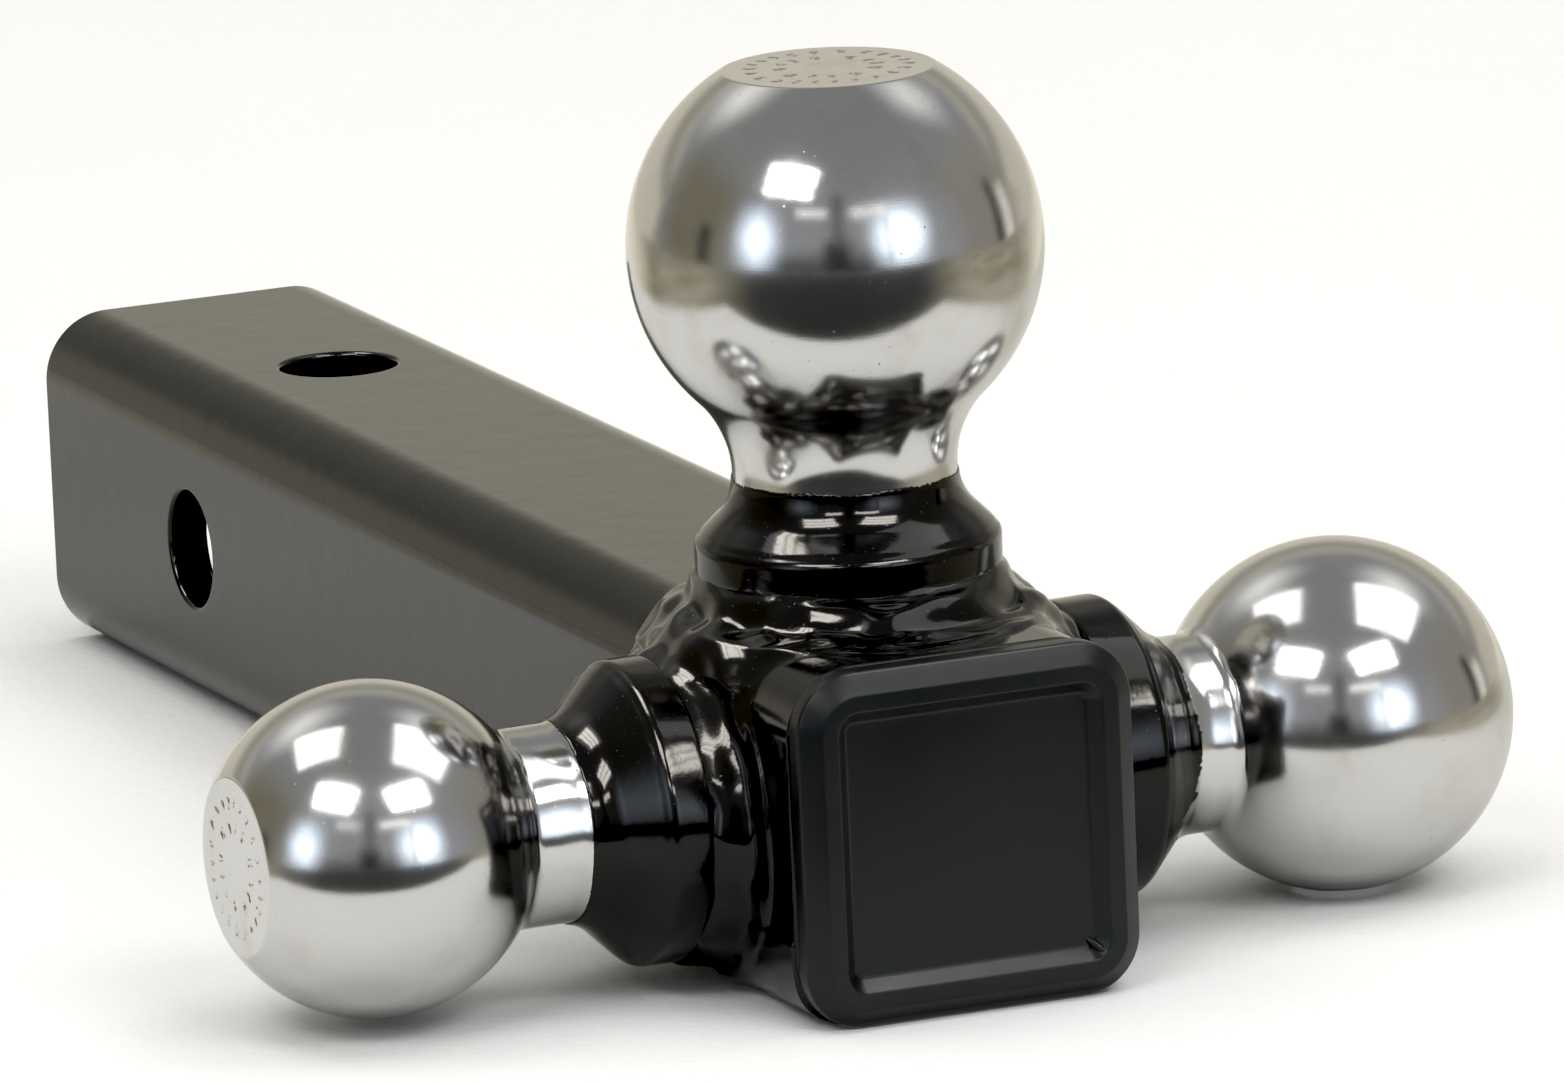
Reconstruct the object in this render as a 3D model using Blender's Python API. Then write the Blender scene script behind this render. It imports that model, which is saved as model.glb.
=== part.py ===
"""Three-ball trailer hitch mount: a square receiver shank, three tow balls welded
on its top and sides, and a moulded plug in its front end.

Units are metres. +Z is up, +Y runs along the shank towards the vehicle's receiver,
and +X is to the right as seen by someone who faces the plug. The origin is on the
shank's underside, straight below the crossing of the three balls' axes.
"""
from math import atan2, cos, pi, radians, sin, sqrt, tan

import bmesh
import bpy
from mathutils import Euler, Vector

# Shank: 2 in square structural tube with a 1/4 in wall, for a 2 in receiver
SHANK_SIDE = 0.0508
SHANK_WALL = 0.00635
SHANK_CORNER_R = 0.0102
SHANK_FRONT_Y = -0.0357
SHANK_REAR_Y = 0.2550
PLAIN_START_Y = 0.0450
PLAIN_END_Y = 0.1700
CORNER_STEPS = 8

# Cross holes for a 5/8 in hitch pin, through both pairs of walls
PIN_HOLE_Y = 0.1954
PIN_HOLE_R = 0.0088
PIN_HOLE_SEGMENTS = 32

# What the three ball forgings share. Heights are above the shank's face.
GAP = 0.0003
SPIGOT_R = 0.0080
SPIGOT_DEPTH = 0.0060
FOOT_R = 0.0212
FOOT_TOP = 0.0056
FLANGE_R = 0.0217
FLANGE_BOTTOM = 0.0060
RIM_ROUND_R = 0.0018
RIM_STEPS = 3
FLARE_ROUND_R = 0.0080
FLARE_STEPS = 4
THROAT_STEPS = 5
BALL_STEPS = 12
BALL_SEGMENTS = 40

# Ball forgings: nominal ball diameters 2-5/16 in, 1-7/8 in and 2 in.
# top_flat is the radius of the flat on the ball's crown, rim the height of the
# sharp corner between flange and flare, throat the fillet between neck and ball.
BALLS = {
    "top": {"ball_r": 0.02937, "centre": 0.05175, "neck_r": 0.0159, "rim": 0.0103,
            "throat": 0.0147, "top_flat": 0.0150, "turn": (0.0, 0.0, 0.0)},
    "left": {"ball_r": 0.02381, "centre": 0.0487, "neck_r": 0.0142, "rim": 0.0113,
             "throat": 0.0025, "top_flat": 0.0127, "turn": (0.0, -90.0, 0.0)},
    "right": {"ball_r": 0.02540, "centre": 0.0487, "neck_r": 0.0142, "rim": 0.0131,
              "throat": 0.0025, "top_flat": 0.0090, "turn": (0.0, 90.0, 0.0)},
}

# Weld beads: each flange is welded all round in a front run and a rear run
BEAD_INNER_R = FOOT_R + GAP
BEAD_TOP = 0.0043
BEAD_TOE = 0.0002
BEAD_SPREAD = 0.0062
BEAD_BULGE = 0.0009
BEAD_DEPTH = 0.0050
BEAD_GROUND_GAP = 0.0006
BEAD_SEGMENTS = 64

# End plug: flange outside the tube, hollow skirt with three fins inside it
PLUG_HALF = 0.0253
PLUG_CORNER_R = 0.0084
PLUG_SIDE_DEPTH = 0.0031
PLUG_BEVEL = 0.0029
PLUG_BEVEL_DEPTH = 0.0022
PLUG_RIM = 0.0024
PLUG_RECESS_SLOPE = 0.0018
PLUG_RECESS_DEPTH = 0.0020
SKIRT_HALF = 0.0172
SKIRT_WALL = 0.0020
SKIRT_CORNER_R = 0.0030
SKIRT_LENGTH = 0.0200
FIN_HALF = 0.0187
FIN_CORNER_R = 0.0034
FIN_THICKNESS = 0.0010
FIRST_FIN = 0.0033
FIN_PITCH = 0.0055
FIN_COUNT = 3
PLUG_CORNER_STEPS = 5

SHANK_HALF = SHANK_SIDE / 2
SHANK_AXIS_Z = SHANK_HALF
CUT_REACH = 2 * SHANK_SIDE
SMOOTH_ANGLE = radians(35)


def clear_scene():
    for thing in list(bpy.data.objects):
        bpy.data.objects.remove(thing, do_unlink=True)


def material(name, colour, roughness, metallic):
    made = bpy.data.materials.new(name)
    made.use_nodes = True
    shader = made.node_tree.nodes["Principled BSDF"]
    shader.inputs["Base Color"].default_value = (*colour, 1.0)
    shader.inputs["Roughness"].default_value = roughness
    shader.inputs["Metallic"].default_value = metallic
    return made


def new_object(name, mesh_builder, finish=None):
    """Link an object whose mesh comes from a bmesh with its faces pointing out."""
    bmesh.ops.recalc_face_normals(mesh_builder, faces=mesh_builder.faces)
    mesh = bpy.data.meshes.new(name)
    mesh_builder.to_mesh(mesh)
    mesh_builder.free()
    made = bpy.data.objects.new(name, mesh)
    bpy.context.scene.collection.objects.link(made)
    if finish:
        mesh.materials.append(finish)
    mesh.shade_smooth()
    mesh.set_sharp_from_angle(angle=SMOOTH_ANGLE)
    return made


def cutter(name, mesh_builder):
    made = new_object(name, mesh_builder)
    made.hide_render = True
    made.display_type = "WIRE"
    return made


def boolean(target, operation, tool):
    cut = target.modifiers.new(operation.lower() + "_" + tool.name, "BOOLEAN")
    cut.operation = operation
    cut.solver = "EXACT"
    cut.object = tool


def arc(centre_r, centre_h, radius, start_deg, end_deg, steps):
    """Points (r, h) along an arc. Angles are measured from +r towards +h."""
    points = []
    for step in range(steps + 1):
        angle = radians(start_deg + (end_deg - start_deg) * step / steps)
        points.append((centre_r + radius * cos(angle), centre_h + radius * sin(angle)))
    return points


def rounded_square(half, corner_r, steps=CORNER_STEPS):
    """Points (x, z) round a square, counter-clockwise, with arcs at its corners."""
    points = []
    inset = half - corner_r
    for quarter, (side_x, side_z) in enumerate([(1, 1), (-1, 1), (-1, -1), (1, -1)]):
        start = 90 * quarter
        points += arc(side_x * inset, side_z * inset, corner_r, start, start + 90, steps)
    return points


def ring_at(builder, outline, y):
    return [builder.verts.new((x, y, SHANK_AXIS_Z + z)) for x, z in outline]


def skin(builder, rings):
    """Bridge each ring to the next. Every ring has the same number of points."""
    for first, second in zip(rings, rings[1:]):
        for index in range(len(first)):
            after = (index + 1) % len(first)
            builder.faces.new((first[index], first[after], second[after], second[index]))


def turned(profile, segments):
    """Spin a profile of (r, h) points about Z into a closed surface."""
    builder = bmesh.new()
    verts = [builder.verts.new((r, 0.0, h)) for r, h in profile]
    edges = [builder.edges.new(pair) for pair in zip(verts, verts[1:])]
    bmesh.ops.spin(builder, geom=verts + edges, cent=(0, 0, 0), axis=(0, 0, 1),
                   angle=2 * pi, steps=segments, use_merge=True)
    bmesh.ops.remove_doubles(builder, verts=builder.verts, dist=1e-6)
    bmesh.ops.dissolve_degenerate(builder, edges=builder.edges, dist=1e-7)
    return builder


def prism(outline, y_start, y_end):
    """A solid with a convex (x, z) outline, from one y to another."""
    builder = bmesh.new()
    start = [builder.verts.new((x, y_start, z)) for x, z in outline]
    end = [builder.verts.new((x, y_end, z)) for x, z in outline]
    skin(builder, [start, end])
    builder.faces.new(start)
    builder.faces.new(end)
    return builder


def place_on_shank(thing, turn_deg):
    """Turn something built along +Z about the shank's axis and seat it on that face."""
    turn = Euler([radians(angle) for angle in turn_deg])
    outwards = Vector((0, 0, SHANK_HALF))
    outwards.rotate(turn)
    thing.rotation_euler = turn
    thing.location = Vector((0, 0, SHANK_AXIS_Z)) + outwards


# Shank

def shank_envelope():
    """The tube's outside, grown by the gap that the weld beads keep to it."""
    outline = rounded_square(SHANK_HALF + GAP, SHANK_CORNER_R + GAP)
    raised = [(x, SHANK_AXIS_Z + z) for x, z in outline]
    return cutter("shank_envelope", prism(raised, -CUT_REACH, CUT_REACH))


def pin_drill(name, turn_deg):
    builder = bmesh.new()
    bmesh.ops.create_cone(builder, cap_ends=True, segments=PIN_HOLE_SEGMENTS,
                          radius1=PIN_HOLE_R, radius2=PIN_HOLE_R, depth=CUT_REACH)
    drill = cutter(name, builder)
    drill.location = (0, PIN_HOLE_Y, SHANK_AXIS_Z)
    drill.rotation_euler = Euler([radians(angle) for angle in turn_deg])
    return drill


def spigot_drill(name, turn_deg):
    builder = bmesh.new()
    bmesh.ops.create_cone(builder, cap_ends=True, segments=BALL_SEGMENTS,
                          radius1=SPIGOT_R + GAP, radius2=SPIGOT_R + GAP,
                          depth=3 * SHANK_WALL)
    drill = cutter(name, builder)
    place_on_shank(drill, turn_deg)
    return drill


def make_shank(finish):
    """The tube. Loops round its outside part the plain stretch from the drilled ends."""
    builder = bmesh.new()
    outer = rounded_square(SHANK_HALF, SHANK_CORNER_R)
    inner = rounded_square(SHANK_HALF - SHANK_WALL, SHANK_CORNER_R - SHANK_WALL)
    rings = [ring_at(builder, outer, y)
             for y in (SHANK_FRONT_Y, PLAIN_START_Y, PLAIN_END_Y, SHANK_REAR_Y)]
    rings += [ring_at(builder, inner, y) for y in (SHANK_REAR_Y, SHANK_FRONT_Y)]
    skin(builder, rings + rings[:1])
    shank = new_object("shank_tube", builder, finish)
    boolean(shank, "DIFFERENCE", pin_drill("pin_drill_upright", (0, 0, 0)))
    boolean(shank, "DIFFERENCE", pin_drill("pin_drill_crosswise", (0, 90, 0)))
    for side, ball in BALLS.items():
        boolean(shank, "DIFFERENCE", spigot_drill("spigot_drill_" + side, ball["turn"]))


# Tow balls

def rim_and_flare(neck_r, rim):
    """From the flange's side, over its rounded rim and up the flare to the neck.

    The flare is a 45 degree cone between the rim's rounding and the arc that runs
    into the neck, so r + h stays the same along the cone.
    """
    flare_r = neck_r + FLARE_ROUND_R
    flare_h = FLANGE_R + rim - neck_r + (sqrt(2) - 1) * FLARE_ROUND_R
    rim_h = rim - RIM_ROUND_R * tan(pi / 8)
    over_rim = arc(FLANGE_R - RIM_ROUND_R, rim_h, RIM_ROUND_R, 0, 45, RIM_STEPS)
    up_flare = arc(flare_r, flare_h, FLARE_ROUND_R, 225, 180, FLARE_STEPS)
    return over_rim + up_flare


def throat_and_ball(ball_r, centre, neck_r, throat, top_flat):
    """The fillet between neck and ball, and the ball itself up to its flat crown."""
    reach = ball_r + throat
    fillet_r = neck_r + throat
    fillet_h = centre - sqrt(reach ** 2 - fillet_r ** 2)
    meets = atan2(fillet_h - centre, fillet_r)
    crown = pi / 2 - atan2(top_flat, sqrt(ball_r ** 2 - top_flat ** 2))
    meets_deg = meets * 180 / pi
    throat_arc = arc(fillet_r, fillet_h, throat, 180, 180 + meets_deg, THROAT_STEPS)
    ball_arc = arc(0, centre, ball_r, meets_deg, crown * 180 / pi, BALL_STEPS)
    return throat_arc + ball_arc[1:]


def forging_profile(ball):
    spigot_and_foot = [(0, -SPIGOT_DEPTH), (SPIGOT_R, -SPIGOT_DEPTH), (SPIGOT_R, GAP),
                       (FOOT_R, GAP), (FOOT_R, FOOT_TOP), (FLANGE_R, FLANGE_BOTTOM)]
    crown_h = ball["centre"] + sqrt(ball["ball_r"] ** 2 - ball["top_flat"] ** 2)
    return (spigot_and_foot + rim_and_flare(ball["neck_r"], ball["rim"])
            + throat_and_ball(ball["ball_r"], ball["centre"], ball["neck_r"],
                              ball["throat"], ball["top_flat"]) + [(0, crown_h)])


def make_ball(side, ball, finish):
    builder = turned(forging_profile(ball), BALL_SEGMENTS)
    forging = new_object("tow_ball_" + side, builder, finish)
    place_on_shank(forging, ball["turn"])


# Weld beads

def bead_ring():
    """A full fillet bead about Z, its inside standing against the forging's foot."""
    outer_r = BEAD_INNER_R + BEAD_SPREAD
    middle = ((BEAD_INNER_R + outer_r) / 2 + BEAD_BULGE, BEAD_TOP / 2 + BEAD_BULGE)
    profile = [(BEAD_INNER_R, -BEAD_DEPTH), (outer_r, -BEAD_DEPTH), (outer_r, BEAD_TOE),
               middle, (BEAD_INNER_R, BEAD_TOP), (BEAD_INNER_R, -BEAD_DEPTH)]
    return turned(profile, BEAD_SEGMENTS)


def sector(side, run):
    """The space that one run of weld may fill, mitred against the next face's beads."""
    middle = SHANK_AXIS_Z
    if side == "top":
        outline = [(0, middle + GAP), (CUT_REACH, middle + GAP + CUT_REACH),
                   (-CUT_REACH, middle + GAP + CUT_REACH)]
    else:
        out = 1 if side == "right" else -1
        far = out * (CUT_REACH + GAP)
        outline = [(out * GAP, middle), (far, middle + CUT_REACH),
                   (far, BEAD_GROUND_GAP), (out * GAP, BEAD_GROUND_GAP)]
    along = -1 if run == "front" else 1
    return cutter("sector_" + side + "_" + run, prism(outline, along * GAP / 2, along * CUT_REACH))


def make_bead(side, run, turn, envelope, finish):
    bead = new_object("weld_" + side + "_" + run, bead_ring(), finish)
    place_on_shank(bead, turn)
    boolean(bead, "DIFFERENCE", envelope)
    boolean(bead, "INTERSECT", sector(side, run))


# End plug

def plug_rings():
    """The plug's closed skin as (half width, corner radius, y) from skirt to recess."""
    seat = SHANK_FRONT_Y - GAP
    wall_end = seat - PLUG_SIDE_DEPTH
    face = wall_end - PLUG_BEVEL_DEPTH
    rim_half = PLUG_HALF - PLUG_BEVEL
    recess_half = rim_half - PLUG_RIM
    floor_half = recess_half - PLUG_RECESS_SLOPE
    inside = (SKIRT_HALF - SKIRT_WALL, SKIRT_CORNER_R - SKIRT_WALL)
    rings = [(*inside, seat), (*inside, seat + SKIRT_LENGTH),
             (SKIRT_HALF, SKIRT_CORNER_R, seat + SKIRT_LENGTH)]
    for fin in reversed(range(FIN_COUNT)):
        root = seat + FIRST_FIN + FIN_PITCH * fin
        rings += [(SKIRT_HALF, SKIRT_CORNER_R, root + FIN_THICKNESS),
                  (FIN_HALF, FIN_CORNER_R, root + FIN_THICKNESS),
                  (FIN_HALF, FIN_CORNER_R, root), (SKIRT_HALF, SKIRT_CORNER_R, root)]
    rings += [(SKIRT_HALF, SKIRT_CORNER_R, seat), (PLUG_HALF, PLUG_CORNER_R, seat),
              (PLUG_HALF, PLUG_CORNER_R, wall_end),
              (rim_half, PLUG_CORNER_R - PLUG_BEVEL, face),
              (recess_half, PLUG_CORNER_R - PLUG_BEVEL - PLUG_RIM, face),
              (floor_half, PLUG_CORNER_R - PLUG_BEVEL - PLUG_RIM - PLUG_RECESS_SLOPE,
               face + PLUG_RECESS_DEPTH)]
    return rings


def make_plug(finish):
    builder = bmesh.new()
    rings = []
    for half, corner_r, y in plug_rings():
        rings.append(ring_at(builder, rounded_square(half, corner_r, PLUG_CORNER_STEPS), y))
    skin(builder, rings)
    builder.faces.new(rings[0])
    builder.faces.new(rings[-1])
    new_object("end_plug", builder, finish)


def main():
    clear_scene()
    enamel = material("black_enamel", (0.012, 0.012, 0.013), 0.12, 0.0)
    chrome = material("chrome_plate", (0.78, 0.78, 0.77), 0.08, 1.0)
    plastic = material("charcoal_plastic", (0.028, 0.031, 0.033), 0.48, 0.0)
    make_shank(enamel)
    envelope = shank_envelope()
    for side, ball in BALLS.items():
        make_ball(side, ball, chrome)
        for run in ("front", "rear"):
            make_bead(side, run, ball["turn"], envelope, enamel)
    make_plug(plastic)


main()
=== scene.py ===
"""Looks of the three-ball trailer hitch mount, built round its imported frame.

Shapes are given in millimetres and become metres where a mesh is made. +Z is up, +Y
runs along the shank towards the receiver, and +X points along the right ball's axis.
A ball forging is described in its own frame: r from its axis, and h along the axis
from the shank's face. The camera and the room are in metres.
"""
import random
from math import atan2, ceil, cos, degrees, pi, radians, sin, sqrt, tan

import bmesh
import bpy
import numpy as np
from mathutils import Matrix, Vector


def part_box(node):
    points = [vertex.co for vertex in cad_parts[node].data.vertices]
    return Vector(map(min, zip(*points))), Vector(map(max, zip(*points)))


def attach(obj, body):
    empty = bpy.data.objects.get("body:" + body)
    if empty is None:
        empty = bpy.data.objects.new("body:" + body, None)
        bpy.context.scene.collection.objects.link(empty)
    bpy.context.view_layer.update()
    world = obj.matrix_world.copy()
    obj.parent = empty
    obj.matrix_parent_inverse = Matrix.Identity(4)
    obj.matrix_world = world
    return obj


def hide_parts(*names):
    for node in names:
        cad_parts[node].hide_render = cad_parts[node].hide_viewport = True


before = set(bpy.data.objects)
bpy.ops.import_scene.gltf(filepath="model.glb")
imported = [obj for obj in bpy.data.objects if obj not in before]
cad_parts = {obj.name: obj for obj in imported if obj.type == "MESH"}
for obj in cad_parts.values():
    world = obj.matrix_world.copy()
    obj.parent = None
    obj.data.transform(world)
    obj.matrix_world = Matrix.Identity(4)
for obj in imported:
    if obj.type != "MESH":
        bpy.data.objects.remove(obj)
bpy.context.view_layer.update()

MM = 0.001

# Shank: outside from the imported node, wall and corners as in the CAD model
shank_low, shank_high = (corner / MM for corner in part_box("shank_tube"))
SHANK_HALF = (shank_high.x - shank_low.x) / 2
SHANK_AXIS_Z = shank_low.z + SHANK_HALF
SHANK_FRONT_Y = shank_low.y
SHANK_REAR_Y = shank_high.y
SHANK_CORNER_R = 10.2
SHANK_WALL = 6.35
SHANK_EDGE_ROUND = 0.7
PIN_HOLE_Y = 195.4
PIN_HOLE_R = 8.8
SPIGOT_HOLE_R = 8.3

# Ball forgings: what the three share. Heights are from the shank's face.
SPIGOT_R = 8.0
SPIGOT_DEPTH = 6.0
FOOT_R = 21.2
FOOT_GAP = 0.3
FOOT_TOP = 5.2
FLANGE_R = 21.7
FLANGE_BOTTOM = 5.9
RIM_ROUND_R = 1.6
FLARE_ROUND_R = 8.0
CROWN_EDGE_R = 1.1
GROOVE_PITCH = 0.55
GROOVE_DEPTH = 0.012
DASH_DEPTH = 0.18
NECK_RECESS = 0.6
PAINT_THICKNESS = 0.16
PAINT_RUN_OUT = 0.25
# Torn flakes in the enamel's edge where it stops short: degrees, width in radians and height
FLAKES = [
    (292, 0.05, 1.2),
    (301, 0.03, -0.9),
    (318, 0.06, 0.9),
    (330, 0.04, -0.7),
    (30, 0.08, 0.8),
]
BALL_COLUMNS = 320
PAINT_COLUMNS = 512

# turn tips the forging from upright, in degrees. paint is the height of the enamel's edge on
# the neck, ragged how far that edge wanders, and bare how far it stops short on one side.
# crest and reach are the weld's height and width, pinch what the width loses across the
# shank, spill what it gains towards the plug, and flow the height of its lumps. seed starts
# the forging's random draws.
BALLS = {
    "top": {"ball_r": 29.37, "centre": 51.75, "neck_r": 15.9, "rim": 10.3, "throat": 14.7,
            "flat_r": 15.0, "turn": 0, "paint": 19.3, "ragged": 0.13, "bare": 0,
            "crest": 5.9, "reach": 8.2, "pinch": 3.0, "spill": 4.0, "flow": 0.42, "seed": 3},
    "left": {"ball_r": 23.81, "centre": 48.7, "neck_r": 14.2, "rim": 11.3, "throat": 2.5,
             "flat_r": 12.7, "turn": -90, "paint": 20.9, "ragged": 0.07, "bare": 0,
             "crest": 5.3, "reach": 6.8, "pinch": 2.8, "spill": 0.6, "flow": 0.40, "seed": 8},
    "right": {"ball_r": 25.40, "centre": 48.7, "neck_r": 14.2, "rim": 13.1, "throat": 2.5,
              "flat_r": 9.0, "turn": 90, "paint": 21.0, "ragged": 0.26, "bare": 4.2,
              "crest": 5.3, "reach": 6.8, "pinch": 2.8, "spill": 0.6, "flow": 0.40, "seed": 5},
}

# Weld metal round each flange, under the enamel. BEAD_ROLL is how much of a bead's height is
# a roll that stands against the flange, rather than a slope.
BEAD_ROLL = 0.55
BEAD_FALL = 1.6
REACH_WANDER = 0.9
CREST_WANDER = 0.3
WETTING = 0.6
HEIGHT_TO_DEPTH = 0.8
WELD_MELT = 3.0
WELD_TO_TUBE_MELT = 1.6
WELD_ROOT = 4.5
WELD_STEP = 0.36
WELD_FRONT_INSET = 0.6
WELD_REAR_Y = 44.0
WELD_CORNER_R = 7.4
WELD_CORNER_INSET = 0.1
CORNER_FILL_FADING = 30.0
WELD_UNDERSIDE_RISE = 0.09
WELD_UNDERSIDE_RISE_END = 3.2
WELD_SEARCH_STEP = 0.4
WELD_SEARCH_END = 12.0
WELD_SEARCH_HALVINGS = 12
# Where there is no weld, its skin sinks this far into the tube and so doesn't show
WELD_SINK = 0.14
WELD_SINK_RUN = 0.16
WELD_SKIN_DEPTH = 1.5

# Plug: half widths, and depths forward of its seat, as in the CAD model
PLUG_HALF = 25.3
PLUG_GAP = 0.3
PLUG_INSET = 16.9
PLUG_RIM_HALF = 22.4
PLUG_RECESS_HALF = 20.0
PLUG_FLOOR_HALF = 18.2
PLUG_SIDE_DEPTH = 3.1
PLUG_FACE_DEPTH = 5.3
PLUG_FLOOR_DEPTH = 3.3
SKIRT_HALF = 17.2
SKIRT_INSET = 14.2
SKIRT_WALL = 2.0
SKIRT_LENGTH = 20.0
FIN_HALF = 18.7
FIN_THICKNESS = 1.0
FIN_PITCH = 5.5
FIN_START = 3.3
LEAST_CORNER_R = 0.4
# The gate's stub starts and ends this far out from the shank's axis, both ways
GATE_START = 16.9
GATE_END = 19.5
GATE_HALF_WIDTH = 0.6

# Camera, placed in metres, and the display's black point
CAMERA_TARGET = Vector((-0.00572, 0.01034, 0.05865))
CAMERA_DISTANCE = 2.41486
CAMERA_AZIMUTH = radians(-22.554)
CAMERA_ELEVATION = radians(12.464)
CAMERA_ROLL = radians(-2.522)
CAMERA_LENS = 394.35
BLACK_LEVEL = 0.0105


# Shapes in numpy

def arc(centre_x, centre_y, radius, start_deg, end_deg, steps):
    """Points along an arc. Angles are measured from +x towards +y."""
    angles = np.radians(np.linspace(start_deg, end_deg, steps + 1))
    return np.column_stack([centre_x + radius * np.cos(angles), centre_y + radius * np.sin(angles)])


def rounded(corners, steps=6):
    """A path through (x, y, radius) corners, with each corner turned into an arc."""
    path = [np.array(corners[0][:2], float)]
    for before, corner, after in zip(corners, corners[1:], corners[2:]):
        here = np.array(corner[:2], float)
        back = np.array(before[:2]) - here
        ahead = np.array(after[:2]) - here
        back, ahead = back / np.linalg.norm(back), ahead / np.linalg.norm(ahead)
        half_angle = np.arccos(np.clip(back @ ahead, -1, 1)) / 2
        if corner[2] == 0 or half_angle > pi / 2 - 1e-3:
            path.append(here)
            continue
        cut = corner[2] / tan(half_angle)
        middle = (back + ahead) / np.linalg.norm(back + ahead)
        centre = here + middle * corner[2] / sin(half_angle)
        first, last = here + back * cut - centre, here + ahead * cut - centre
        for step in range(steps + 1):
            share = step / steps
            spoke = first * (1 - share) + last * share
            path.append(centre + spoke / np.linalg.norm(spoke) * corner[2])
    path.append(np.array(corners[-1][:2], float))
    return np.array(path)


def subdivided(path, longest):
    """The same path with its long stretches split."""
    points = [path[0]]
    for start, end in zip(path, path[1:]):
        pieces = max(1, ceil(np.linalg.norm(end - start) / longest))
        points += [start + (end - start) * (i + 1) / pieces for i in range(pieces)]
    return np.array(points)


def rounded_square(half, corner_r, corner_steps, side_steps=1):
    """Points (x, z) round a square, counter-clockwise from its right side."""
    inset = half - corner_r
    corners = []
    for quarter, (side_x, side_z) in enumerate([(1, 1), (-1, 1), (-1, -1), (1, -1)]):
        start_deg = 90 * quarter
        corners.append(arc(side_x * inset, side_z * inset, corner_r,
                           start_deg, start_deg + 90, corner_steps))
    outline = []
    for corner, following in zip(corners, corners[1:] + corners[:1]):
        start, end = corner[-1], following[0]
        between = [start + (end - start) * i / side_steps for i in range(1, side_steps)]
        outline.append(corner)
        outline.append(np.array(between).reshape(-1, 2))
    return np.concatenate(outline)


def ring_at(outline, y):
    """Points round the shank's axis at y, from an outline of (x, z) round that axis."""
    return np.column_stack([outline[:, 0], np.full(len(outline), y), outline[:, 1] + SHANK_AXIS_Z])


def smoothstep(low, high, value):
    """0 up to low, 1 from high, with a smooth rise between. high may be the smaller one."""
    share = np.clip((value - low) / (high - low), 0, 1)
    return share * share * (3 - 2 * share)


def waves(seed, slowest, fastest, count):
    """A smooth random function of an angle that closes on itself, about -1 to 1."""
    draw = random.Random(seed)
    terms = [(draw.randint(slowest, fastest), draw.uniform(0, 2 * pi), draw.uniform(0.5, 1.0))
             for _ in range(count)]
    size = sqrt(sum(weight * weight for _, _, weight in terms) / 2) * 1.5

    def value(angle):
        return sum(weight * np.sin(turns * angle + phase) for turns, phase, weight in terms) / size

    return value


def lumps(points, wavelength, seed, count=18):
    """A smooth random function of place, about -1 to 1, with that wavelength."""
    draw = np.random.default_rng(seed)
    total = np.zeros(points.shape[:-1])
    for _ in range(count):
        heading = draw.normal(size=3)
        turns = heading / np.linalg.norm(heading) * 2 * pi / (wavelength * draw.uniform(0.75, 1.5))
        total += np.sin(points @ turns + draw.uniform(0, 2 * pi))
    return total / sqrt(count)


def linked(name, data):
    """A new object in the scene."""
    made = bpy.data.objects.new(name, data)
    bpy.context.scene.collection.objects.link(made)
    return made


def ring_faces(rings, around, closed):
    """Quads between neighbouring rings of a grid whose columns wrap round."""
    low = np.arange(rings if closed else rings - 1)[:, None] * around
    high = (low + around) % (rings * around)
    here = np.arange(around)[None, :]
    after = (here + 1) % around
    return np.stack([low + here, low + after, high + after, high + here], axis=-1).reshape(-1, 4)


def grid_object(name, points, finish, closed=False):
    """A mesh from rings of points, whose first and last rings are capped, or joined if closed."""
    rings, around = points.shape[:2]
    verts = points.reshape(-1, 3) * MM
    faces = ring_faces(rings, around, closed).tolist()
    if not closed:
        verts = np.vstack([verts, points[0].mean(axis=0) * MM, points[-1].mean(axis=0) * MM])
        first, last = rings * around, rings * around + 1
        for here in range(around):
            after = (here + 1) % around
            faces.append((first, after, here))
            faces.append((last, (rings - 1) * around + here, (rings - 1) * around + after))
    mesh = bpy.data.meshes.new(name)
    mesh.from_pydata(verts.tolist(), [], faces)
    mesh.validate()
    mesh.materials.append(finish)
    mesh.shade_smooth()
    return linked(name, mesh)


# Placing

def ball_frame(side):
    """Matrix from a ball forging's own frame to the object's, in millimetres."""
    turn = Matrix.Rotation(radians(BALLS[side]["turn"]), 4, "Y")
    return Matrix.Translation((0, 0, SHANK_AXIS_Z)) @ turn @ Matrix.Translation((0, 0, SHANK_HALF))


def place_on_shank(piece, side):
    """Move a piece from its ball forging's own frame to its place."""
    matrix = ball_frame(side)
    matrix.translation = matrix.translation * MM
    piece.matrix_world = matrix


def hand_over(piece, slot, *nodes):
    """The piece rides on the one body and stands for these CAD nodes."""
    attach(piece, "root")
    if nodes:
        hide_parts(*nodes)


# Node helper

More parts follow.
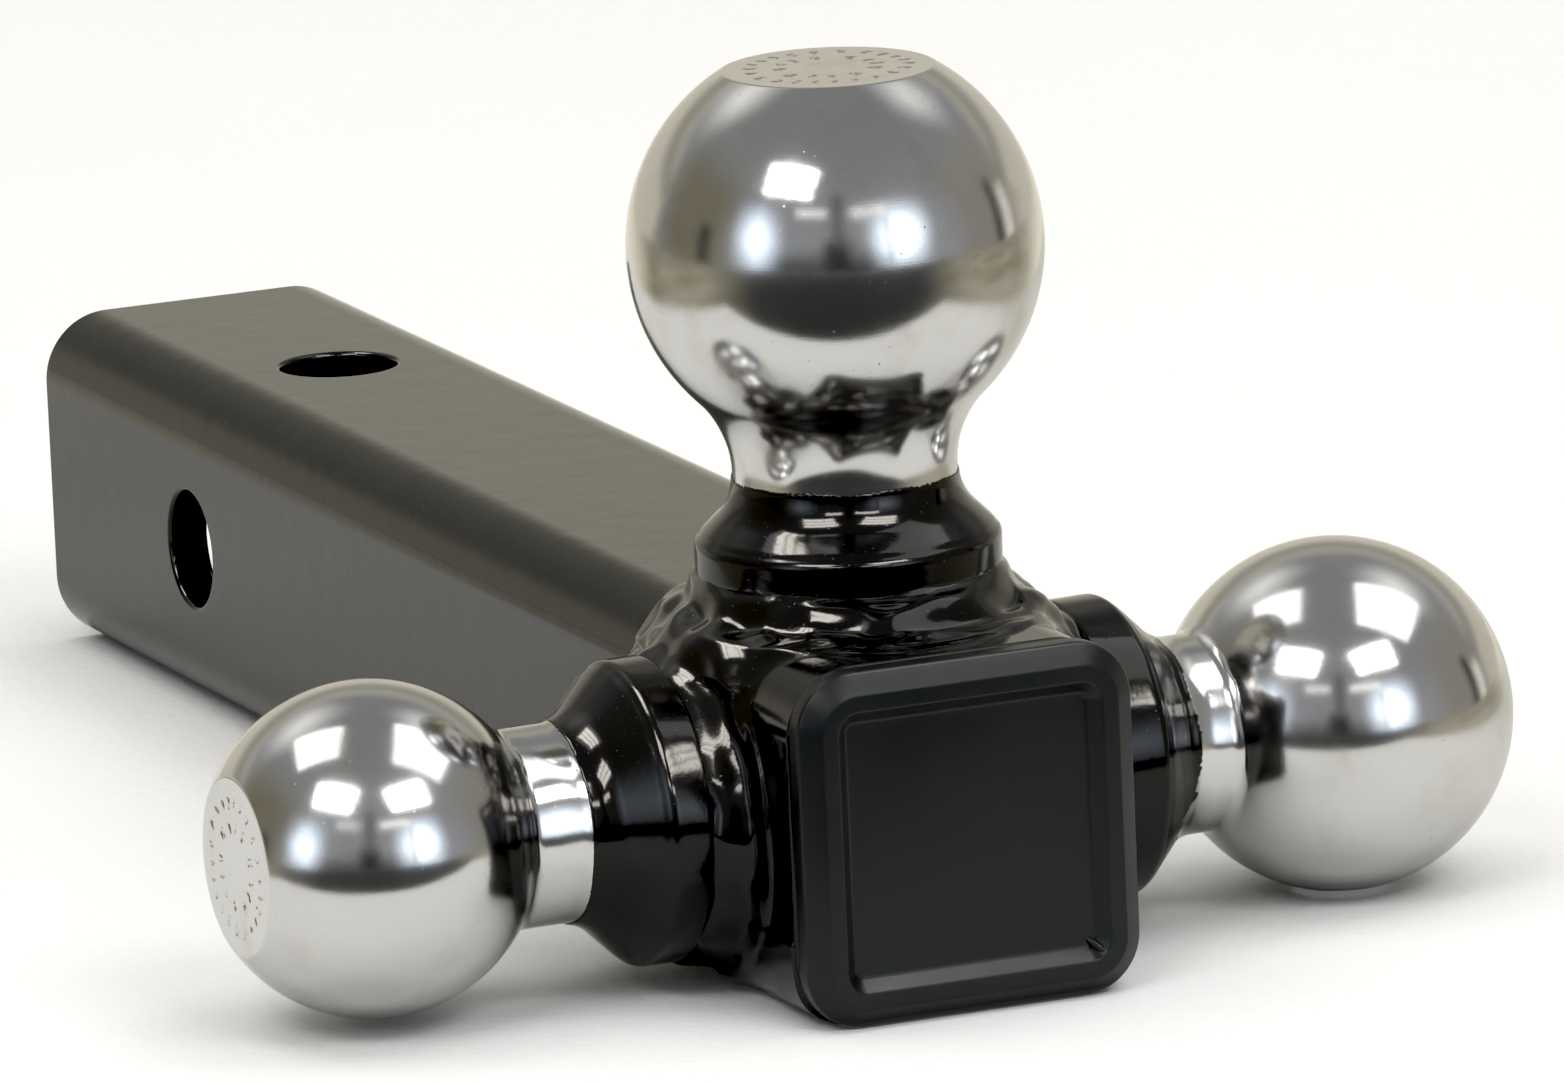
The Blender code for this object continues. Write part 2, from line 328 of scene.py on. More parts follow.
class Graph:
    """Adds shader nodes and links them, so that a material reads as a list of steps."""

    def __init__(self, tree):
        self.tree = tree
        self.made = 0

    def new_node(self, kind):
        """A new node, laid out in rows of twelve."""
        node = self.tree.nodes.new("ShaderNode" + kind)
        node.location = (180 * (self.made % 12), -220 * (self.made // 12))
        self.made += 1
        return node

    def add(self, kind, *inputs, output=0, **settings):
        """A node's output. Inputs go to its sockets in order; None leaves one alone."""
        made = self.new_node(kind)
        for name, value in settings.items():
            setattr(made, name, value)
        for socket, value in zip(made.inputs, inputs):
            self.put(socket, value)
        return made.outputs[output]

    def put(self, socket, value):
        if isinstance(value, bpy.types.NodeSocket):
            self.tree.links.new(value, socket)
        elif value is not None:
            socket.default_value = value

    def math(self, operation, first, second=None, third=None):
        return self.add("Math", first, second, third, operation=operation)

    def ramp(self, value, from_low, from_high, to_low=0.0, to_high=1.0, soft=False):
        return self.add("MapRange", value, from_low, from_high, to_low, to_high,
                        interpolation_type="SMOOTHSTEP" if soft else "LINEAR")

    def noise(self, vector, scale, detail=2.0, roughness=0.5):
        return self.add("TexNoise", vector, None, scale, detail, roughness)

    def mix(self, share, first, second):
        made = self.new_node("Mix")
        made.data_type = "RGBA"
        self.put(made.inputs[0], share)
        self.put(made.inputs[6], first)
        self.put(made.inputs[7], second)
        return made.outputs[2]

    def bump(self, height, distance, normal=None):
        made = self.new_node("Bump")
        made.inputs["Strength"].default_value = 1.0
        made.inputs["Distance"].default_value = distance
        self.put(made.inputs["Height"], height)
        self.put(made.inputs["Normal"], normal)
        return made.outputs[0]


def new_material(name):
    """A material with its shader, a graph to build in, and the piece's own coordinates."""
    made = bpy.data.materials.new(name)
    made.use_nodes = True
    shader = made.node_tree.nodes["Principled BSDF"]
    graph = Graph(made.node_tree)
    place = graph.add("TexCoord", output=3)
    return made, shader, graph, place


# Materials

def black_enamel():
    """Glossy enamel over welded steel: orange peel, slow waviness, dust and thin haze."""
    made, shader, graph, place = new_material("black_enamel")
    haze = graph.noise(place, 60.0, 3.0)
    peel = graph.noise(place, 650.0, 2.0)
    slow = graph.noise(place, 160.0, 1.0)
    specks = graph.ramp(graph.noise(place, 2600.0, 0.0), 0.80, 0.84)
    colour = graph.mix(haze, (0.0015, 0.0015, 0.0016, 1), (0.0038, 0.0036, 0.0034, 1))
    dusty = graph.mix(graph.math("MULTIPLY", specks, 0.2), colour, (0.06, 0.055, 0.05, 1))
    graph.put(shader.inputs["Base Color"], dusty)
    gloss = graph.ramp(haze, 0.3, 0.7, 0.07, 0.13)
    rough = graph.math("MAXIMUM", gloss, graph.math("MULTIPLY", specks, 0.35))
    graph.put(shader.inputs["Roughness"], rough)
    wavy = graph.bump(slow, 0.00004)
    peeled = graph.bump(peel, 0.000012, wavy)
    graph.put(shader.inputs["Normal"], graph.bump(specks, 0.000004, peeled))
    shader.inputs["IOR"].default_value = 1.39
    shader.inputs["Specular Tint"].default_value = (1.0, 0.98, 0.95, 1)
    return made


def chrome_plate():
    """Plated steel: faint turning marks, slow unevenness, pits and dull patches."""
    made, shader, graph, place = new_material("chrome_plate")
    cloud = graph.noise(place, 70.0, 3.0)
    fine = graph.noise(place, 1800.0, 2.0)
    pits = graph.ramp(graph.noise(place, 1500.0, 1.0), 0.76, 0.84)
    slow = graph.noise(place, 90.0, 1.0)
    split = graph.add("SeparateXYZ", place, output=2)
    turned = graph.add("TexNoise", None, split, 5200.0, 1.0, 0.5, noise_dimensions="1D")
    colour = graph.mix(cloud, (0.585, 0.575, 0.56, 1), (0.65, 0.64, 0.625, 1))
    smudges = graph.ramp(graph.noise(place, 110.0, 5.0, 0.65), 0.52, 0.72)
    smudged = graph.mix(graph.math("MULTIPLY", smudges, 0.5), colour, (0.50, 0.475, 0.44, 1))
    pitted = graph.mix(graph.math("MULTIPLY", pits, 0.5), smudged, (0.35, 0.33, 0.31, 1))
    graph.put(shader.inputs["Base Color"], pitted)
    polish = graph.ramp(cloud, 0.3, 0.7, 0.105, 0.165)
    rough = graph.math("ADD", polish, graph.math("MULTIPLY", smudges, 0.05))
    rough = graph.math("MAXIMUM", rough, graph.math("MULTIPLY", pits, 0.3))
    graph.put(shader.inputs["Roughness"], rough)
    uneven = graph.bump(slow, 0.00005)
    grained = graph.bump(fine, 0.0000035, uneven)
    lathe = graph.bump(turned, 0.0000012, grained)
    graph.put(shader.inputs["Normal"], graph.bump(pits, -0.00002, lathe))
    shader.inputs["Metallic"].default_value = 1.0
    return made


def charcoal_plastic():
    """Moulded plastic: satin grain, slow sheen changes and faint flow lines."""
    made, shader, graph, place = new_material("charcoal_plastic")
    cloud = graph.noise(place, 55.0, 3.0)
    grain = graph.noise(place, 1700.0, 2.0)
    stretched = graph.add("VectorMath", place, (18.0, 18.0, 190.0), operation="MULTIPLY")
    flow = graph.noise(stretched, 6.0, 2.0)
    colour = graph.mix(cloud, (0.0058, 0.0064, 0.0069, 1), (0.0083, 0.0090, 0.0094, 1))
    graph.put(shader.inputs["Base Color"], colour)
    sheen = graph.math("ADD", graph.ramp(cloud, 0.3, 0.7, 0.29, 0.37),
                       graph.ramp(flow, 0.3, 0.7, -0.01, 0.01))
    graph.put(shader.inputs["Roughness"], sheen)
    slow = graph.bump(cloud, 0.00012)
    graph.put(shader.inputs["Normal"], graph.bump(grain, 0.00001, slow))
    shader.inputs["IOR"].default_value = 1.49
    shader.inputs["Specular IOR Level"].default_value = 0.36
    return made


# Ball forgings

def flare_top(ball):
    """Height where the flare's arc has run into the neck."""
    return FLANGE_R + ball["rim"] - ball["neck_r"] + (sqrt(2) - 1) * FLARE_ROUND_R


def radius_at(ball, height):
    """Radius of the flare and the neck at heights above the rim."""
    top = flare_top(ball)
    cone = FLANGE_R + ball["rim"] - height
    below = np.clip(top - height, 0, FLARE_ROUND_R)
    swept = ball["neck_r"] + FLARE_ROUND_R - np.sqrt(FLARE_ROUND_R ** 2 - below ** 2)
    return np.where(height < top - FLARE_ROUND_R * sin(pi / 4), cone, swept)


def spun(profile, angles):
    """Rings of points from profile rows of (r, h), each a number or one value per angle."""
    rings = []
    for r, h in profile:
        r, h = np.broadcast_to(r, angles.shape), np.broadcast_to(h, angles.shape)
        rings.append(np.column_stack([r * np.cos(angles), r * np.sin(angles), h]))
    return np.array(rings)


def crown_marks(ball, r, angles):
    """Depth of the marks on a ball's flat crown: facing grooves, and two rings of dashes."""
    flat = ball["flat_r"] - CROWN_EDGE_R
    depth = GROOVE_DEPTH * np.cos(2 * pi * r / GROOVE_PITCH) * smoothstep(flat, flat - 1.0, r)
    for ring, count, length in ((0.80, 22, 0.55), (0.50, 12, 0.62)):
        middle = flat * ring
        beat = np.cos(angles * count + ball["seed"] + 1.4 * np.sin(3 * angles))
        dash = smoothstep(1 - length, 1 - length + 0.45, beat)
        band = smoothstep(1.15, 0.55, np.abs(r - middle + 0.25 * np.sin(5 * angles)))
        broken = 0.5 + 0.5 * np.cos(3.3 * r + 2 * np.cos(2 * count * angles + 0.7))
        depth = depth + DASH_DEPTH * dash * band * broken
    return depth


def chrome_profile(ball):
    """Rows of (r, h) up the neck and the ball to the crown's edge, and rows over the crown."""
    reach = ball["ball_r"] + ball["throat"]
    fillet_r = ball["neck_r"] + ball["throat"]
    fillet_h = ball["centre"] - sqrt(reach ** 2 - fillet_r ** 2)
    meets = degrees(atan2(fillet_h - ball["centre"], fillet_r))
    crown_h = ball["centre"] + sqrt(ball["ball_r"] ** 2 - ball["flat_r"] ** 2)
    edge = rounded_crown_edge(ball, crown_h)
    bared_from = ball["paint"] - ball["bare"]
    neck_h = np.linspace(bared_from - 4.0, fillet_h, 60)
    covered = smoothstep(bared_from - 1.0, bared_from - 2.0, neck_h)
    neck = np.column_stack([radius_at(ball, neck_h) - NECK_RECESS * covered, neck_h])
    throat = arc(fillet_r, fillet_h, ball["throat"], 180, 180 + meets, 26)
    sphere = arc(0, ball["centre"], ball["ball_r"], meets, edge["sphere_deg"], 110)
    corner = arc(edge["r"], edge["h"], CROWN_EDGE_R, edge["sphere_deg"], 90, 8)
    flat_r = np.linspace(edge["r"], 0.2, 76)[1:]
    flat = np.column_stack([flat_r, np.full_like(flat_r, crown_h)])
    return np.concatenate([neck, throat[1:], sphere[1:], corner[1:]]), flat


def make_chrome(side, finish):
    """A ball with its neck, from inside the enamelled flare up to the marked crown."""
    ball = BALLS[side]
    angles = np.linspace(0, 2 * pi, BALL_COLUMNS, endpoint=False)
    rising, flat = chrome_profile(ball)
    points = spun(np.concatenate([rising, flat]), angles)
    for ring, (r, _) in enumerate(flat, start=len(rising)):
        points[ring, :, 2] -= crown_marks(ball, r, angles)
    below_centre = (ball["centre"] - points[..., 2]) / ball["ball_r"]
    necklike = smoothstep(0.5, 0.95, below_centre)
    dents = lumps(points, 9.0, ball["seed"]) * (0.006 + 0.05 * necklike)
    from_axis = np.hypot(points[..., 0], points[..., 1])
    points[..., :2] *= 1 + (dents / np.maximum(from_axis, 5.0))[..., None]
    made = grid_object("ball_" + side, points, finish)
    place_on_shank(made, side)
    hand_over(made, "chrome_plate", "tow_ball_" + side)
    return made


def rounded_crown_edge(ball, crown_h):
    """Centre of the small arc between the sphere and the flat, and where it starts."""
    inner = ball["ball_r"] - CROWN_EDGE_R
    rise = crown_h - CROWN_EDGE_R - ball["centre"]
    r = sqrt(inner ** 2 - rise ** 2)
    return {"r": r, "h": crown_h - CROWN_EDGE_R, "sphere_deg": degrees(atan2(rise, r))}


def enamel_edge(side, angles):
    """Height of the enamel's ragged edge round the neck."""
    ball = BALLS[side]
    slow = waves(ball["seed"], 2, 9, 5)
    quick = waves(ball["seed"] + 20, 24, 110, 16)
    ragged = 1.5 * slow(angles) + quick(angles) * np.abs(quick(2 * angles))
    edge = ball["paint"] + ball["ragged"] * ragged
    if ball["bare"]:
        edge = edge - ball["bare"] * smoothstep(0.1, 0.95, np.cos(angles))
        for flake_deg, width, size in FLAKES:
            edge = edge + size * np.exp(-((angles - radians(flake_deg)) / width) ** 2)
    return edge


def foot_profile(ball):
    """Rows of (r, h) from the spigot's end, round the foot and flange, to the flare's start."""
    below_rim = ball["rim"] - RIM_ROUND_R * tan(pi / 8)
    corners = [(SPIGOT_R - 1, -SPIGOT_DEPTH, 0), (SPIGOT_R, -SPIGOT_DEPTH, 0.4),
               (SPIGOT_R, FOOT_GAP, 0), (FOOT_R, FOOT_GAP, 0.3), (FOOT_R, FOOT_TOP, 0.35),
               (FLANGE_R, FLANGE_BOTTOM, 0.7), (FLANGE_R, below_rim, 0)]
    rim = arc(FLANGE_R - RIM_ROUND_R, below_rim, RIM_ROUND_R, 0, 45, 8)
    return subdivided(np.concatenate([rounded(corners, 4)[:-1], rim]), 0.45)


def make_painted_flange(side, finish):
    """The enamelled foot, flange and flare, closed inside the ball's neck."""
    ball = BALLS[side]
    angles = np.linspace(0, 2 * pi, PAINT_COLUMNS, endpoint=False)
    rows = foot_profile(ball).tolist()
    flare_start = rows[-1][1]
    edge = enamel_edge(side, angles)
    for share in np.linspace(0, 1, 64)[1:]:
        h = flare_start + (edge - flare_start) * share
        proud = PAINT_THICKNESS * np.sqrt(np.clip((edge - h) / PAINT_RUN_OUT, 0, 1))
        rows.append((radius_at(ball, h) + proud * smoothstep(0.0, 0.12, share), h))
    for depth, inwards in ((0.02, 0.25), (0.5, 1.2), (3.0, 4.0)):
        rows.append((radius_at(ball, edge - depth) - inwards, edge - depth))
    rows.append((3.0, ball["paint"] - 5.0))
    points = spun(rows, angles)
    bulges = lumps(points, 11.0, ball["seed"] + 40)
    above_foot = smoothstep(2.0, 6.0, points[..., 2])
    below_edge = smoothstep(-0.3, -2.5, points[..., 2] - edge[None, :])
    points[..., :2] *= 1 + (0.05 * bulges * above_foot * below_edge / 20.0)[..., None]
    made = grid_object("painted_flange_" + side, points, finish)
    place_on_shank(made, side)
    hand_over(made, "black_enamel")
    return made


# Weld skin: points where weld_metal is 0 are its surface

def bead_height(side, points):
    """How far points lie inside one flange's weld metal; negative outside it."""
    ball = BALLS[side]
    matrix = np.array(ball_frame(side).inverted())
    local = points @ matrix[:3, :3].T + matrix[:3, 3]
    r = np.hypot(local[..., 0], local[..., 1])
    angle = np.arctan2(local[..., 1], local[..., 0])
    seed = ball["seed"]
    across, front = np.cos(angle) ** 2, np.clip(-np.sin(angle), 0, 1) ** 3
    reach = ball["reach"] + REACH_WANDER * waves(seed + 60, 2, 6, 5)(angle)
    reach = reach - ball["pinch"] * across + ball["spill"] * front
    crest = ball["crest"] + CREST_WANDER * waves(seed + 62, 3, 8, 6)(angle)
    share = (r - FOOT_R) / reach
    inside = np.clip(share, 0, 1)
    roll = smoothstep(0.5, 0.16, inside) * np.sqrt(np.clip(1 - inside, 0, 1))
    slope = crest * (BEAD_ROLL * roll + (1 - BEAD_ROLL) * (1 - inside))
    wetting = WETTING * np.exp(-np.clip(r - FOOT_R, 0, None) / WETTING)
    stretched = np.stack([0.5 * local[..., 0], 0.5 * local[..., 1], r], axis=-1)
    on_bead = smoothstep(1.25, 0.7, share) * smoothstep(-0.1, 0.3, share)
    flow = ball["flow"] * lumps(stretched, 5.2, seed + 63) * on_bead
    beyond = -BEAD_FALL * np.clip(r - FOOT_R - reach, 0, None)
    height = slope + flow + wetting * (share < 1) + beyond
    root = local[..., 2] + WELD_ROOT
    return np.minimum((height - local[..., 2]) * HEIGHT_TO_DEPTH, root)


def smooth_max(first, second, melt):
    """The larger value, with a rounded step where the two cross."""
    near = np.clip(melt - np.abs(first - second), 0, None) / melt
    return np.maximum(first, second) + near * near * melt / 4


def weld_metal(points, proud):
    """Positive inside the tube or any bead. proud is the distance outside the tube."""
    beads = bead_height("top", points)
    for side in ("left", "right"):
        beads = smooth_max(beads, bead_height(side, points), WELD_MELT)
    rise = (points[..., 1] - SHANK_FRONT_Y) * WELD_UNDERSIDE_RISE
    underside = 0.3 + np.clip(rise, 0, WELD_UNDERSIDE_RISE_END)
    beads = np.minimum(beads, points[..., 2] - underside)
    beads = smooth_max(beads, corner_fill(points), WELD_TO_TUBE_MELT)
    return np.minimum(smooth_max(-proud, beads, WELD_TO_TUBE_MELT), points[..., 2] - 0.05)


def corner_fill(points):
    """Weld metal run down over the tube's lower front corners: positive inside it."""
    inset = SHANK_HALF - WELD_CORNER_R
    aside = np.clip(np.abs(points[..., 0]) - inset, 0, None)
    below = np.clip(SHANK_AXIS_Z - points[..., 2] - inset, 0, None)
    to_the_rear = smoothstep(-14.0, 4.0, points[..., 1])
    upwards = smoothstep(12.0, 20.0, points[..., 2])
    depth = WELD_CORNER_R - WELD_CORNER_INSET - np.hypot(aside, below)
    return depth - CORNER_FILL_FADING * (to_the_rear + upwards)


def shank_outline(step):
    """Points and outward normals round the shank's outside, evenly spaced."""
    flat = 2 * (SHANK_HALF - SHANK_CORNER_R)
    corner_steps = round(SHANK_CORNER_R * pi / 2 / step)
    side_steps = round(flat / step)
    outline = rounded_square(SHANK_HALF, SHANK_CORNER_R, corner_steps, side_steps)
    inset = SHANK_HALF - SHANK_CORNER_R
    core = np.clip(outline, -inset, inset)
    normals = outline - core
    normals /= np.linalg.norm(normals, axis=1, keepdims=True)
    return outline, normals


def weld_height(base, out):
    """How far the weld metal stands out from points on the tube, found by halving."""
    low = np.zeros(base.shape[:2])
    for proud in np.arange(0.0, WELD_SEARCH_END, WELD_SEARCH_STEP):
        inside = weld_metal(base + out * proud, proud) > 0
        low = np.where(inside, proud, low)
    high = low + WELD_SEARCH_STEP
    for _ in range(WELD_SEARCH_HALVINGS):
        middle = (low + high) / 2
        inside = weld_metal(base + out * middle[..., None], middle) > 0
        low, high = np.where(inside, middle, low), np.where(inside, high, middle)
    return (low + high) / 2


def make_weld_skin(finish):
    """The weld metal of all three flanges. Between them its skin runs just inside the tube."""
    outline, normals = shank_outline(WELD_STEP)
    along = np.arange(SHANK_FRONT_Y + WELD_FRONT_INSET, WELD_REAR_Y, WELD_STEP)
    base = np.zeros((len(along), len(outline), 3))
    base[..., 0] = outline[:, 0]
    base[..., 1] = along[:, None]
    base[..., 2] = outline[:, 1] + SHANK_AXIS_Z
    out = np.zeros_like(base)
    out[..., 0], out[..., 2] = normals[:, 0], normals[:, 1]
    proud = weld_height(base, out)
    skin = base + out * proud[..., None]
    blobs = lumps(skin, 8.0, 71) * 0.38 + lumps(skin, 5.0, 72) * 0.05
    proud = proud + blobs * smoothstep(0.3, 2.2, proud)
    proud = proud - WELD_SINK * np.exp(-np.clip(proud, 0, None) / WELD_SINK_RUN)
    skin = base + out * proud[..., None]
    inner = base - out * WELD_SKIN_DEPTH
    points = np.concatenate([skin, inner[::-1]])
    made = grid_object("weld_metal", points, finish, closed=True)
    nodes = [f"weld_{side}_{run}" for side in BALLS for run in ("front", "rear")]
    hand_over(made, "black_enamel", *nodes)
    return made


# Shank tube

def bore(name, radius, turn_deg, y, one_side=False):
    """A cutter for a round hole across the shank, or out through one wall only."""
    builder = bmesh.new()
    bmesh.ops.create_cone(builder, cap_ends=True, segments=128, radius1=radius * MM,
                          radius2=radius * MM, depth=4 * SHANK_HALF * MM)
    if one_side:
        bmesh.ops.translate(builder, verts=builder.verts, vec=(0, 0, 2 * SHANK_HALF * MM))
    mesh = bpy.data.meshes.new(name)
    builder.to_mesh(mesh)
    builder.free()
    made = linked(name, mesh)
    made.location = (0, y * MM, SHANK_AXIS_Z * MM)
    made.rotation_euler = (0, radians(turn_deg), 0)
    return made


def apply_modifiers(piece):
    """Replace a piece's mesh by the one its modifiers give."""
    bpy.context.view_layer.update()
    evaluated = piece.evaluated_get(bpy.context.evaluated_depsgraph_get())
    mesh = bpy.data.meshes.new_from_object(evaluated)
    piece.modifiers.clear()
    piece.data = mesh


def drill(piece, cutters):
    for tool in cutters:
        cut = piece.modifiers.new(tool.name, "BOOLEAN")
        cut.operation = "DIFFERENCE"
        cut.solver = "EXACT"
        cut.object = tool


def soften_edges(piece, width):
    """Round a piece's sharp edges, and keep its flat faces flat in the shading."""
    soften = piece.modifiers.new("soften", "BEVEL")
    soften.width = width
    soften.segments = 4
    soften.limit_method = "ANGLE"
    soften.angle_limit = radians(40)
    weigh = piece.modifiers.new("weigh", "WEIGHTED_NORMAL")
    weigh.keep_sharp = False
    weigh.weight = 100


def make_tube(finish):
    """The square tube with its pin holes, its spigot holes and softened edges."""
    outer = rounded_square(SHANK_HALF, SHANK_CORNER_R, 20)
    inner = rounded_square(SHANK_HALF - SHANK_WALL, SHANK_CORNER_R - SHANK_WALL, 20)
    rings = [ring_at(outer, SHANK_FRONT_Y), ring_at(outer, SHANK_REAR_Y),
             ring_at(inner, SHANK_REAR_Y), ring_at(inner, SHANK_FRONT_Y)]
    made = grid_object("square_tube", np.array(rings), finish, closed=True)
    cutters = [bore("pin_upright", PIN_HOLE_R, 0, PIN_HOLE_Y),
               bore("pin_crosswise", PIN_HOLE_R, 90, PIN_HOLE_Y)]
    for side, ball in BALLS.items():
        cutters.append(bore("spigot_" + side, SPIGOT_HOLE_R, ball["turn"], 0, one_side=True))
    drill(made, cutters)
    soften_edges(made, SHANK_EDGE_ROUND * MM)
    apply_modifiers(made)
    for tool in cutters:
        bpy.data.objects.remove(tool)
    hand_over(made, "black_enamel", "shank_tube")
    return made


# Plug

def square_ring(half, inset, y):
    """A rounded square round the shank's axis. Its corner arcs are centred inset from the axis."""
    return ring_at(rounded_square(half, half - inset, 14), y)


def make_plug(finish):
    """The moulded plug: recessed face, bevelled flange, hollow skirt with three fins."""
    seat = SHANK_FRONT_Y - PLUG_GAP
    skirt = [(SKIRT_HALF - SKIRT_WALL, seat, 0), (SKIRT_HALF - SKIRT_WALL, seat + SKIRT_LENGTH, 0.5),
             (SKIRT_HALF, seat + SKIRT_LENGTH, 0.5)]
    for fin in (2, 1, 0):
        root = seat + FIN_START + FIN_PITCH * fin
        skirt += [(SKIRT_HALF, root + FIN_THICKNESS, 0), (FIN_HALF, root + FIN_THICKNESS, 0.3),
                  (FIN_HALF, root, 0.3), (SKIRT_HALF, root, 0)]
    skirt.append((SKIRT_HALF, seat, 0))
    side_y, face_y, floor_y = seat - PLUG_SIDE_DEPTH, seat - PLUG_FACE_DEPTH, seat - PLUG_FLOOR_DEPTH
    face = [(SKIRT_HALF + 1, seat, 0), (PLUG_HALF, seat, 0.35), (PLUG_HALF, side_y, 0.9),
            (PLUG_RIM_HALF, face_y, 0.5), (PLUG_RECESS_HALF, face_y, 0.45),
            (PLUG_FLOOR_HALF, floor_y, 0.8), (PLUG_FLOOR_HALF - 2, floor_y, 0)]
    rings = [square_ring(half, min(SKIRT_INSET, half - LEAST_CORNER_R), y)
             for half, y in rounded(skirt, 3)]
    rings += [square_ring(half, min(PLUG_INSET, half - LEAST_CORNER_R), y)
              for half, y in rounded(face, 5)]
    made = grid_object("plug", np.array(rings), finish)
    hand_over(made, "charcoal_plastic", "end_plug")
    return made


def make_gate_stub(finish):
    """The trimmed end of the moulding's gate, a ridge up the recess's lower right corner."""
    around = np.linspace(0, 2 * pi, 16, endpoint=False)
    across = np.array([1, 0, 1]) / sqrt(2)
    rings = []
    for share in np.linspace(0, 1, 12):
        out = GATE_START + (GATE_END - GATE_START) * share
        y = SHANK_FRONT_Y - PLUG_FLOOR_DEPTH - (PLUG_FACE_DEPTH - PLUG_FLOOR_DEPTH) * share
        thickness = GATE_HALF_WIDTH * sin(pi * (0.12 + 0.76 * share))
        centre = np.array([out, y, SHANK_AXIS_Z - out])
        sideways, forwards = across * thickness, np.array([0, thickness, 0])
        rings.append([centre + sideways * cos(angle) + forwards * sin(angle) for angle in around])
    made = grid_object("gate_stub", np.array(rings), finish)
    hand_over(made, "charcoal_plastic")
    return made


# Room: a world of soft panels, ceiling lamps, a pale floor, and a table and its surroundings
# that only reflections see. Azimuths are measured from the camera's, positive to its right.

def room_direction(azimuth_deg, elevation_deg):
    """A direction in the room. Azimuth 0 is horizontally towards the camera."""
    turn = CAMERA_AZIMUTH + radians(azimuth_deg)
    height = radians(elevation_deg)
    return Vector((sin(turn) * cos(height), -cos(turn) * cos(height), sin(height)))


# Panels of the painted room, later ones over earlier ones: azimuth, elevation, half width and
# half height in degrees, softness of the edge as a tangent, colour and strength
PANELS = {
    "back_wall": (180, 5, 62, 30, 0.55, (1.0, 0.95, 0.80), 0.70),
    "back_shade": (180, 25, 60, 7, 0.20, (1.0, 0.97, 0.84), 0.40),
    "olive_left": (-88, 10, 26, 28, 0.55, (1.0, 0.93, 0.70), 0.24),
    "olive_right": (98, 10, 24, 26, 0.45, (1.0, 0.96, 0.86), 0.34),
    "post_left": (-78, 2, 4, 11, 0.10, (1.0, 0.95, 0.85), 0.07),
    "post_right": (104, 4, 3, 14, 0.10, (1.0, 0.98, 0.92), 0.08),
    "sign_right": (113, 3, 4, 9, 0.10, (1.0, 0.97, 0.88), 0.95),
    "pale_left": (-140, 47, 12, 9, 0.40, (1.0, 0.99, 0.97), 1.2),
    "pale_right": (132, 52, 11, 8, 0.40, (1.0, 1.0, 1.0), 1.2),
    "low_dark": (3, -4, 40, 9, 0.30, (0.95, 1.0, 1.0), 0.10),
    "window_left": (-45, 12, 5, 10, 0.48, (0.72, 0.84, 1.0), 4.6),
    "window_right": (37, 12, 10, 10, 0.46, (0.76, 0.87, 1.0), 4.6),
    "frame_right": (31, 11, 1.2, 12, 0.06, (0.88, 0.94, 1.0), 0.7),
    "figure": (1, 1, 7, 12, 0.16, (1.0, 1.0, 0.97), 0.05),
    "stalk": (2, 24, 3, 14, 0.14, (1.0, 1.0, 1.0), 0.16),
    "strip_left": (-14, 28.5, 8, 2.2, 0.09, (1.0, 1.0, 1.0), 1.3),
    "strip_right": (21, 28.0, 10, 2.2, 0.09, (1.0, 1.0, 1.0), 1.6),
}


# Lamps: azimuth, elevation, half width and half height in degrees, number of tubes, radiance,
# colour, and the pieces that they light and show in. A lamp for the enamel hangs a step in
# front of the one that it brightens, because a reflection shows only one of two lamps in the
# same plane. The plug's lamp casts no shadows.
WARM, WHITE = (1.0, 0.96, 0.88), (1.0, 1.0, 1.0)
LAMPS = {
    "lamp_left": (-31, 46, 12.5, 8.5, 3, 7.0, WHITE, "all"),
    "lamp_right": (36, 45, 13, 8, 3, 7.0, WHITE, "all_but_top_ball"),
    "bank_left": (-101, 64, 13, 12, 1, 1.9, WHITE, "all_but_top_ball"),
    "bank_right": (94, 61, 17, 15, 1, 1.9, WHITE, "all_but_top_ball"),
    "glint_left": (-31, 46, 12.5, 8.5, 3, 16.0, WARM, "enamel"),
    "glint_right": (36, 45, 13, 8, 3, 16.0, WARM, "enamel"),
    "glint_bank_left": (-101, 64, 12, 8, 3, 20.0, WARM, "enamel"),
    "glint_strip_left": (-14, 28.5, 8, 2.2, 1, 16.0, WARM, "enamel"),
    "glint_strip_right": (21, 28, 10, 2.2, 1, 16.0, WARM, "enamel"),
    "plug_lamp": (100, 66, 12, 9, 1, 4.6, WARM, "plug"),
}
LAMP_DISTANCE = 3.0
GLINT_STEP = 0.05
TUBE_FILL = 0.8
OVERHEAD_SIZE = 3.0
OVERHEAD_HEIGHT = 3.0
OVERHEAD_RADIANCE = 1.3
# Where the edges of the table in the reflections lie from the origin; the last three fade
TABLE_FRONT = 0.128
TABLE_RIGHT = (0.19, 0.25)
TABLE_LEFT = (0.22, 0.28)
TABLE_BACK = (0.45, 0.60)
FLOOR_HALF = 4.0
MIRROR_FLOOR_HALF = 1.5
MIRROR_FLOOR_RISE = 0.001


